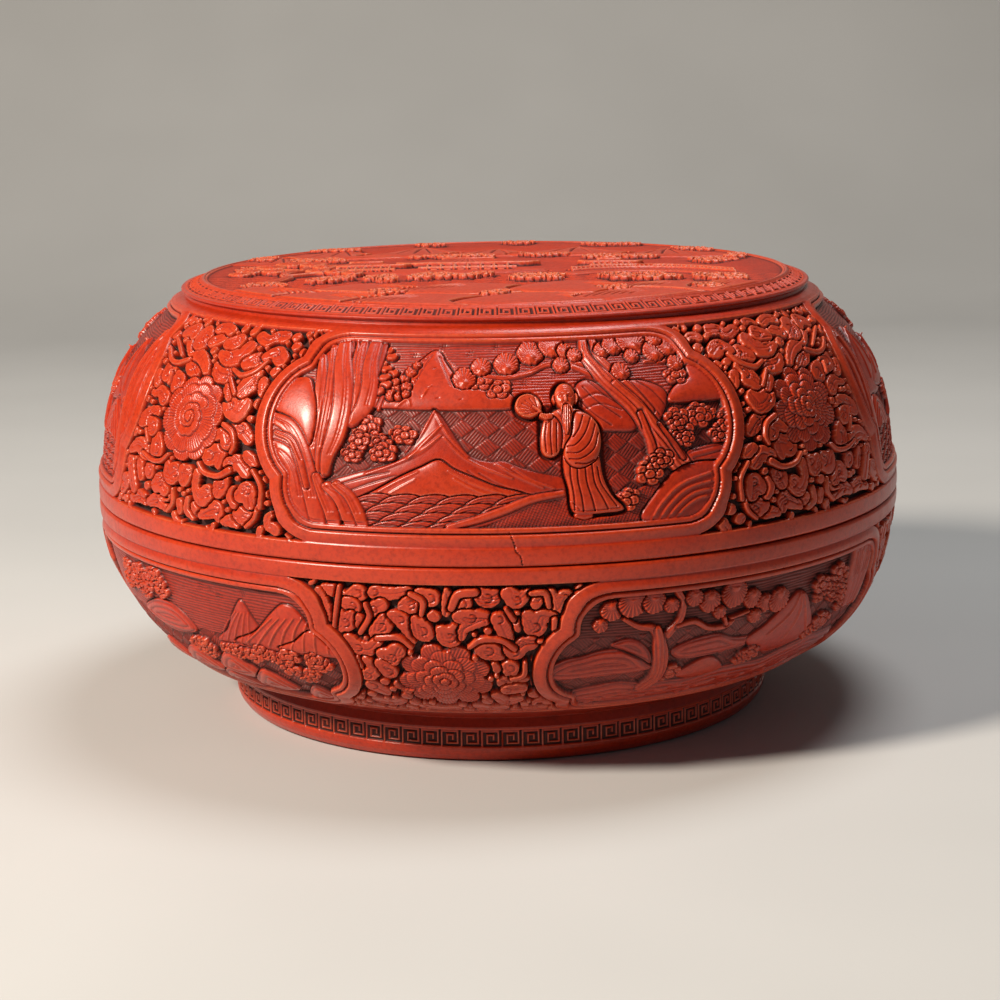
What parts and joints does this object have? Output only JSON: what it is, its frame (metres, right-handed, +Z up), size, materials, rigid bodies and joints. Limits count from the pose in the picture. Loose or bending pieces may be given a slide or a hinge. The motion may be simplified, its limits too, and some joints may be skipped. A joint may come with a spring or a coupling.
{
  "type": "round lidded box",
  "caption": "Round carved lacquer box: a low bowl on a foot ring with a domed lift-off lid located by an inner lip.",
  "frame": {"origin": "middle of the foot ring's underside, on the surface that the box stands on", "axes": "+Z up along the box's axis, -Y to the front, where the lid panel with the figure is"},
  "size_m": [0.3536, 0.3536, 0.1904],
  "materials": {
    "red_lacquer": "polished cinnabar red lacquer, carved, with dark recesses",
    "black_lacquer": "satin black lacquer",
    "core_wood": "bare turned wood, primed"
  },
  "bodies": {
    "base": {"base_wall_core": "core_wood", "base_floor_board": "core_wood", "foot_hoop_core": "core_wood", "base_mouth_lip": "black_lacquer", "base_lining": "black_lacquer", "underside_coat": "black_lacquer", "base_carved_coat": "red_lacquer", "foot_coat": "red_lacquer"},
    "lid": {"lid_wall_core": "core_wood", "lid_top_board": "core_wood", "lid_lining": "black_lacquer", "lid_carved_coat": "red_lacquer", "lid_crown_coat": "red_lacquer"}
  },
  "joints": [
    {"name": "lid_lift", "type": "slide", "parent": "base", "child": "lid", "axis": [0, 0, 1], "range_m": [0, 0.15]}
  ]
}
